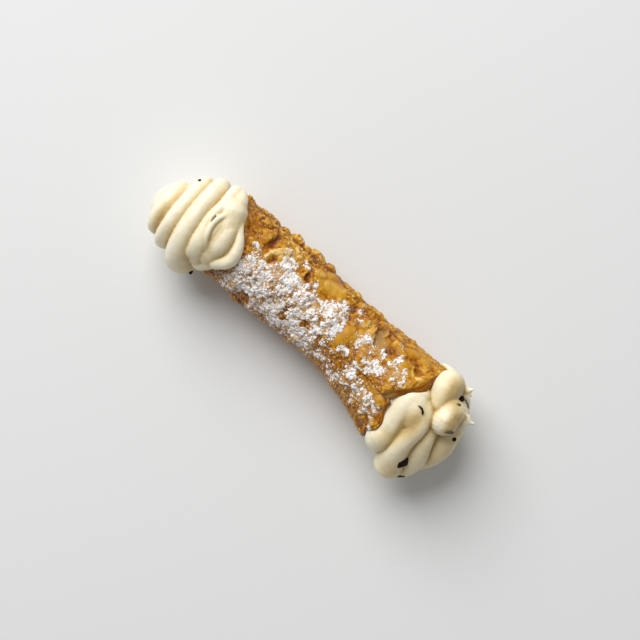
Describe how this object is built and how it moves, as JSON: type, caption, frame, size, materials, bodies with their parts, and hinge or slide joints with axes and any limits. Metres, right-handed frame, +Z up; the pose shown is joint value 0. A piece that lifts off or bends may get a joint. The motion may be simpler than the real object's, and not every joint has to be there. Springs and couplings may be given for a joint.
{
  "type": "cannoli",
  "caption": "Filled cannoli: a blistered fried pastry tube with a lapped seam, ricotta cream wound into a swirl at one end and piped in loose lobes with chocolate chips at the other.",
  "frame": {"origin": "on the table, under the middle of the whole", "axes": "+X along the tube towards the end with the loose lobes and chips, +Z up, seam on top"},
  "size_m": [0.1712, 0.0563, 0.0419],
  "materials": {
    "crust": "golden fried dough, blistered, dusted with powdered sugar",
    "cream": "smooth ivory ricotta cream with dark chocolate chips"
  },
  "bodies": {
    "root": {"shell": "crust", "filling": "cream"}
  },
  "joints": []
}
